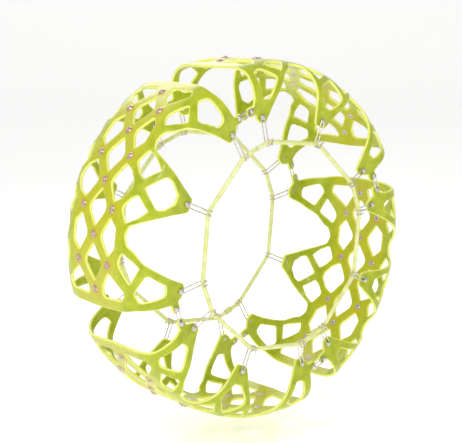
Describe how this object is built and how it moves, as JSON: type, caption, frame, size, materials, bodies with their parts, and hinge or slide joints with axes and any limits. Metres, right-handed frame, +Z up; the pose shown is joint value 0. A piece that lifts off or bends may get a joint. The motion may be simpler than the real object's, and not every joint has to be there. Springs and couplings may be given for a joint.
{
  "type": "tire snow chains",
  "caption": "Slip-on tyre snow chain: studded elastomer nets wrap the tread, wire loops tie them end to end, and elastic cords on wire hooks hold their arms on both sidewalls.",
  "frame": {"origin": "centre of the wheel that the chain is fitted to, which is the centre of the whole part", "axes": "+Y along the wheel's axle away from the street side, +Z up, the street side faces -Y"},
  "size_m": [0.6524, 0.253, 0.6524],
  "materials": {
    "net_tpu": "moulded translucent polyurethane, lime yellow",
    "stud_steel": "pressed steel, slightly worn",
    "washer_steel": "zinc-plated steel",
    "rivet_steel": "zinc-plated steel",
    "link_wire": "drawn steel wire",
    "hook_wire": "drawn steel wire",
    "cord_rubber": "pale yellow elastic cord",
    "joiner_plastic": "moulded plastic sleeve"
  },
  "bodies": {
    "panel_1": {"net_panel_1": "net_tpu", "tread_studs_1": "stud_steel", "stud_washers_1": "washer_steel", "rivets_1": "rivet_steel", "tension_cord_outer_1": "cord_rubber", "tension_cord_inner_1": "cord_rubber"},
    "link_1": {"link_loop_outer_1": "link_wire", "link_loop_inner_1": "link_wire"},
    "hook_outer_1_last": {"cord_hook_outer_1_last": "hook_wire"},
    "hook_outer_1_middle": {"cord_hook_outer_1_middle": "hook_wire"},
    "hook_outer_1_first": {"cord_hook_outer_1_first": "hook_wire"},
    "hook_inner_1_last": {"cord_hook_inner_1_last": "hook_wire"},
    "hook_inner_1_middle": {"cord_hook_inner_1_middle": "hook_wire"},
    "hook_inner_1_first": {"cord_hook_inner_1_first": "hook_wire"},
    "panel_2": {"net_panel_2": "net_tpu", "tread_studs_2": "stud_steel", "stud_washers_2": "washer_steel", "rivets_2": "rivet_steel", "tension_cord_outer_2": "cord_rubber", "tension_cord_inner_2": "cord_rubber"},
    "link_2": {"link_loop_outer_2": "link_wire", "link_loop_inner_2": "link_wire"},
    "hook_outer_2_last": {"cord_hook_outer_2_last": "hook_wire"},
    "hook_outer_2_middle": {"cord_hook_outer_2_middle": "hook_wire"},
    "hook_outer_2_first": {"cord_hook_outer_2_first": "hook_wire"},
    "hook_inner_2_last": {"cord_hook_inner_2_last": "hook_wire"},
    "hook_inner_2_middle": {"cord_hook_inner_2_middle": "hook_wire"},
    "hook_inner_2_first": {"cord_hook_inner_2_first": "hook_wire"},
    "panel_3": {"net_panel_3": "net_tpu", "tread_studs_3": "stud_steel", "stud_washers_3": "washer_steel", "rivets_3": "rivet_steel", "tension_cord_outer_3": "cord_rubber", "tension_cord_inner_3": "cord_rubber", "cord_joiner_outer": "joiner_plastic", "cord_joiner_inner": "joiner_plastic"},
    "link_3": {"link_loop_outer_3": "link_wire", "link_loop_inner_3": "link_wire"},
    "hook_outer_3_last": {"cord_hook_outer_3_last": "hook_wire"},
    "hook_outer_3_middle": {"cord_hook_outer_3_middle": "hook_wire"},
    "hook_outer_3_first": {"cord_hook_outer_3_first": "hook_wire"},
    "hook_inner_3_last": {"cord_hook_inner_3_last": "hook_wire"},
    "hook_inner_3_middle": {"cord_hook_inner_3_middle": "hook_wire"},
    "hook_inner_3_first": {"cord_hook_inner_3_first": "hook_wire"},
    "panel_4": {"net_panel_4": "net_tpu", "tread_studs_4": "stud_steel", "stud_washers_4": "washer_steel", "rivets_4": "rivet_steel", "tension_cord_outer_4": "cord_rubber", "tension_cord_inner_4": "cord_rubber"},
    "link_4": {"link_loop_outer_4": "link_wire", "link_loop_inner_4": "link_wire"},
    "hook_outer_4_last": {"cord_hook_outer_4_last": "hook_wire"},
    "hook_outer_4_middle": {"cord_hook_outer_4_middle": "hook_wire"},
    "hook_outer_4_first": {"cord_hook_outer_4_first": "hook_wire"},
    "hook_inner_4_last": {"cord_hook_inner_4_last": "hook_wire"},
    "hook_inner_4_middle": {"cord_hook_inner_4_middle": "hook_wire"},
    "hook_inner_4_first": {"cord_hook_inner_4_first": "hook_wire"}
  },
  "joints": [
    {"name": "link_1_swing", "type": "hinge", "parent": "panel_1", "child": "link_1", "pos_m": [-0.10248, 0, 0.22803], "axis": [0, 1, 0], "range_deg": [-5, 5], "deforming": ["tension_cord_outer_1", "tension_cord_outer_2", "tension_cord_outer_3", "tension_cord_outer_4", "tension_cord_inner_1", "tension_cord_inner_2", "tension_cord_inner_3", "tension_cord_inner_4"]},
    {"name": "panel_2_swing", "type": "hinge", "parent": "link_1", "child": "panel_2", "pos_m": [-0.07642, 0, 0.23803], "axis": [0, 1, 0], "range_deg": [-5, 5]},
    {"name": "link_2_swing", "type": "hinge", "parent": "panel_2", "child": "link_2", "pos_m": [0.22803, 0, 0.10248], "axis": [0, 1, 0], "range_deg": [-5, 5]},
    {"name": "panel_3_swing", "type": "hinge", "parent": "link_2", "child": "panel_3", "pos_m": [0.23803, 0, 0.07642], "axis": [0, 1, 0], "range_deg": [-5, 5]},
    {"name": "link_4_swing", "type": "hinge", "parent": "panel_1", "child": "link_4", "pos_m": [-0.23803, 0, -0.07642], "axis": [0, 1, 0], "range_deg": [-5, 5]},
    {"name": "panel_4_swing", "type": "hinge", "parent": "link_4", "child": "panel_4", "pos_m": [-0.22803, 0, -0.10248], "axis": [0, 1, 0], "range_deg": [-5, 5]},
    {"name": "link_3_swing", "type": "hinge", "parent": "panel_4", "child": "link_3", "pos_m": [0.07642, 0, -0.23803], "axis": [0, 1, 0], "range_deg": [-5, 5]},
    {"name": "hook_outer_1_middle_lean", "type": "hinge", "parent": "panel_1", "child": "hook_outer_1_middle", "pos_m": [-0.21194, -0.1133, 0.09436], "axis": [0, 1, 0], "range_deg": [-5, 5], "stiffness_Nm_per_rad": 0.3},
    {"name": "hook_outer_1_last_lean", "type": "hinge", "parent": "panel_1", "child": "hook_outer_1_last", "pos_m": [-0.1153, -0.1133, 0.20132], "axis": [0, 1, 0], "range_deg": [-5, 5], "stiffness_Nm_per_rad": 0.3},
    {"name": "hook_outer_1_first_lean", "type": "hinge", "parent": "panel_1", "child": "hook_outer_1_first", "pos_m": [-0.22676, -0.1133, -0.04903], "axis": [0, 1, 0], "range_deg": [-5, 5], "stiffness_Nm_per_rad": 0.3},
    {"name": "hook_inner_1_middle_lean", "type": "hinge", "parent": "panel_1", "child": "hook_inner_1_middle", "pos_m": [-0.21194, 0.1133, 0.09436], "axis": [0, 1, 0], "range_deg": [-5, 5], "stiffness_Nm_per_rad": 0.3},
    {"name": "hook_inner_1_last_lean", "type": "hinge", "parent": "panel_1", "child": "hook_inner_1_last", "pos_m": [-0.1153, 0.1133, 0.20132], "axis": [0, 1, 0], "range_deg": [-5, 5], "stiffness_Nm_per_rad": 0.3},
    {"name": "hook_inner_1_first_lean", "type": "hinge", "parent": "panel_1", "child": "hook_inner_1_first", "pos_m": [-0.22676, 0.1133, -0.04903], "axis": [0, 1, 0], "range_deg": [-5, 5], "stiffness_Nm_per_rad": 0.3},
    {"name": "hook_outer_2_middle_lean", "type": "hinge", "parent": "panel_2", "child": "hook_outer_2_middle", "pos_m": [0.09436, -0.1133, 0.21194], "axis": [0, 1, 0], "range_deg": [-5, 5], "stiffness_Nm_per_rad": 0.3},
    {"name": "hook_outer_2_last_lean", "type": "hinge", "parent": "panel_2", "child": "hook_outer_2_last", "pos_m": [0.20132, -0.1133, 0.1153], "axis": [0, 1, 0], "range_deg": [-5, 5], "stiffness_Nm_per_rad": 0.3},
    {"name": "hook_outer_2_first_lean", "type": "hinge", "parent": "panel_2", "child": "hook_outer_2_first", "pos_m": [-0.04903, -0.1133, 0.22676], "axis": [0, 1, 0], "range_deg": [-5, 5], "stiffness_Nm_per_rad": 0.3},
    {"name": "hook_inner_2_middle_lean", "type": "hinge", "parent": "panel_2", "child": "hook_inner_2_middle", "pos_m": [0.09436, 0.1133, 0.21194], "axis": [0, 1, 0], "range_deg": [-5, 5], "stiffness_Nm_per_rad": 0.3},
    {"name": "hook_inner_2_last_lean", "type": "hinge", "parent": "panel_2", "child": "hook_inner_2_last", "pos_m": [0.20132, 0.1133, 0.1153], "axis": [0, 1, 0], "range_deg": [-5, 5], "stiffness_Nm_per_rad": 0.3},
    {"name": "hook_inner_2_first_lean", "type": "hinge", "parent": "panel_2", "child": "hook_inner_2_first", "pos_m": [-0.04903, 0.1133, 0.22676], "axis": [0, 1, 0], "range_deg": [-5, 5], "stiffness_Nm_per_rad": 0.3},
    {"name": "hook_outer_3_middle_lean", "type": "hinge", "parent": "panel_3", "child": "hook_outer_3_middle", "pos_m": [0.21194, -0.1133, -0.09436], "axis": [0, 1, 0], "range_deg": [-5, 5], "stiffness_Nm_per_rad": 0.3},
    {"name": "hook_outer_3_last_lean", "type": "hinge", "parent": "panel_3", "child": "hook_outer_3_last", "pos_m": [0.1153, -0.1133, -0.20132], "axis": [0, 1, 0], "range_deg": [-5, 5], "stiffness_Nm_per_rad": 0.3},
    {"name": "hook_outer_3_first_lean", "type": "hinge", "parent": "panel_3", "child": "hook_outer_3_first", "pos_m": [0.22676, -0.1133, 0.04903], "axis": [0, 1, 0], "range_deg": [-5, 5], "stiffness_Nm_per_rad": 0.3},
    {"name": "hook_inner_3_middle_lean", "type": "hinge", "parent": "panel_3", "child": "hook_inner_3_middle", "pos_m": [0.21194, 0.1133, -0.09436], "axis": [0, 1, 0], "range_deg": [-5, 5], "stiffness_Nm_per_rad": 0.3},
    {"name": "hook_inner_3_last_lean", "type": "hinge", "parent": "panel_3", "child": "hook_inner_3_last", "pos_m": [0.1153, 0.1133, -0.20132], "axis": [0, 1, 0], "range_deg": [-5, 5], "stiffness_Nm_per_rad": 0.3},
    {"name": "hook_inner_3_first_lean", "type": "hinge", "parent": "panel_3", "child": "hook_inner_3_first", "pos_m": [0.22676, 0.1133, 0.04903], "axis": [0, 1, 0], "range_deg": [-5, 5], "stiffness_Nm_per_rad": 0.3},
    {"name": "hook_outer_4_middle_lean", "type": "hinge", "parent": "panel_4", "child": "hook_outer_4_middle", "pos_m": [-0.09436, -0.1133, -0.21194], "axis": [0, 1, 0], "range_deg": [-5, 5], "stiffness_Nm_per_rad": 0.3},
    {"name": "hook_outer_4_last_lean", "type": "hinge", "parent": "panel_4", "child": "hook_outer_4_last", "pos_m": [-0.20132, -0.1133, -0.1153], "axis": [0, 1, 0], "range_deg": [-5, 5], "stiffness_Nm_per_rad": 0.3},
    {"name": "hook_outer_4_first_lean", "type": "hinge", "parent": "panel_4", "child": "hook_outer_4_first", "pos_m": [0.04903, -0.1133, -0.22676], "axis": [0, 1, 0], "range_deg": [-5, 5], "stiffness_Nm_per_rad": 0.3},
    {"name": "hook_inner_4_middle_lean", "type": "hinge", "parent": "panel_4", "child": "hook_inner_4_middle", "pos_m": [-0.09436, 0.1133, -0.21194], "axis": [0, 1, 0], "range_deg": [-5, 5], "stiffness_Nm_per_rad": 0.3},
    {"name": "hook_inner_4_last_lean", "type": "hinge", "parent": "panel_4", "child": "hook_inner_4_last", "pos_m": [-0.20132, 0.1133, -0.1153], "axis": [0, 1, 0], "range_deg": [-5, 5], "stiffness_Nm_per_rad": 0.3},
    {"name": "hook_inner_4_first_lean", "type": "hinge", "parent": "panel_4", "child": "hook_inner_4_first", "pos_m": [0.04903, 0.1133, -0.22676], "axis": [0, 1, 0], "range_deg": [-5, 5], "stiffness_Nm_per_rad": 0.3}
  ],
  "couplings": [
    {"joint": "panel_2_swing", "follows": "link_1_swing", "ratio": 1},
    {"joint": "link_2_swing", "follows": "link_1_swing", "ratio": -1},
    {"joint": "panel_3_swing", "follows": "link_1_swing", "ratio": -1},
    {"joint": "link_4_swing", "follows": "link_1_swing", "ratio": 1},
    {"joint": "panel_4_swing", "follows": "link_1_swing", "ratio": 1},
    {"joint": "link_3_swing", "follows": "link_1_swing", "ratio": -1},
    {"joint": "hook_outer_1_last_lean", "follows": "hook_outer_1_middle_lean", "ratio": 1},
    {"joint": "hook_outer_1_first_lean", "follows": "hook_outer_1_middle_lean", "ratio": 1},
    {"joint": "hook_inner_1_last_lean", "follows": "hook_inner_1_middle_lean", "ratio": 1},
    {"joint": "hook_inner_1_first_lean", "follows": "hook_inner_1_middle_lean", "ratio": 1},
    {"joint": "hook_outer_2_last_lean", "follows": "hook_outer_2_middle_lean", "ratio": 1},
    {"joint": "hook_outer_2_first_lean", "follows": "hook_outer_2_middle_lean", "ratio": 1},
    {"joint": "hook_inner_2_last_lean", "follows": "hook_inner_2_middle_lean", "ratio": 1},
    {"joint": "hook_inner_2_first_lean", "follows": "hook_inner_2_middle_lean", "ratio": 1},
    {"joint": "hook_outer_3_last_lean", "follows": "hook_outer_3_middle_lean", "ratio": 1},
    {"joint": "hook_outer_3_first_lean", "follows": "hook_outer_3_middle_lean", "ratio": 1},
    {"joint": "hook_inner_3_last_lean", "follows": "hook_inner_3_middle_lean", "ratio": 1},
    {"joint": "hook_inner_3_first_lean", "follows": "hook_inner_3_middle_lean", "ratio": 1},
    {"joint": "hook_outer_4_last_lean", "follows": "hook_outer_4_middle_lean", "ratio": 1},
    {"joint": "hook_outer_4_first_lean", "follows": "hook_outer_4_middle_lean", "ratio": 1},
    {"joint": "hook_inner_4_last_lean", "follows": "hook_inner_4_middle_lean", "ratio": 1},
    {"joint": "hook_inner_4_first_lean", "follows": "hook_inner_4_middle_lean", "ratio": 1}
  ]
}
